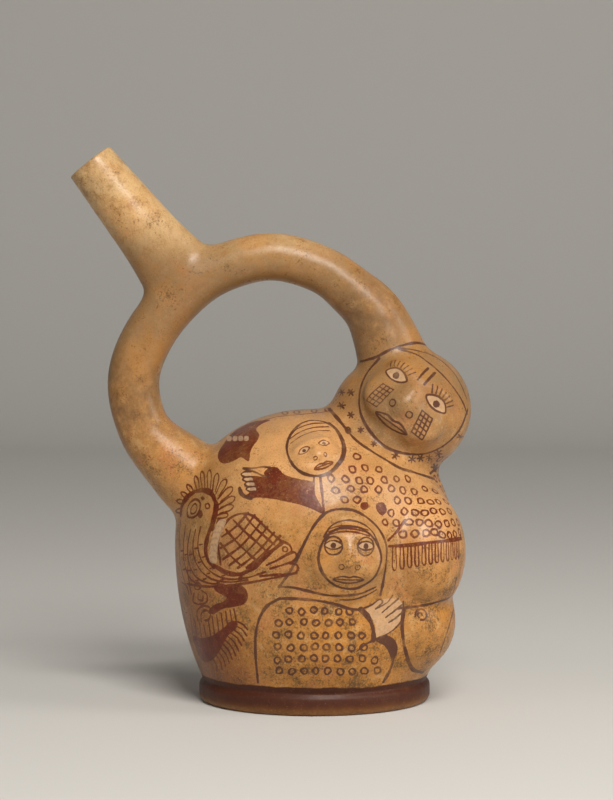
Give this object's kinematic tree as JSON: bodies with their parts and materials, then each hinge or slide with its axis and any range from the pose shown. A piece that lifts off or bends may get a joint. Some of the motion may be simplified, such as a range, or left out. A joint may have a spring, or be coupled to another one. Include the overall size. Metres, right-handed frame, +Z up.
{
  "type": "stirrup spout vessel",
  "caption": "Hollow fired-clay vessel with modelled figures on a round chamber, a stirrup that arches from shoulder to head and a tapered spout leaning out of it.",
  "frame": {"origin": "centre of the foot's flat underside", "axes": "+Z up; +X towards the large head, away from the spout; the modelled figures face -Y, so a viewer of them looks along +Y"},
  "size_m": [0.174, 0.1232, 0.2415],
  "materials": {
    "clay": "burnished slip, painted in red-brown and dark brown"
  },
  "bodies": {
    "root": {"vessel": "clay"}
  },
  "joints": []
}
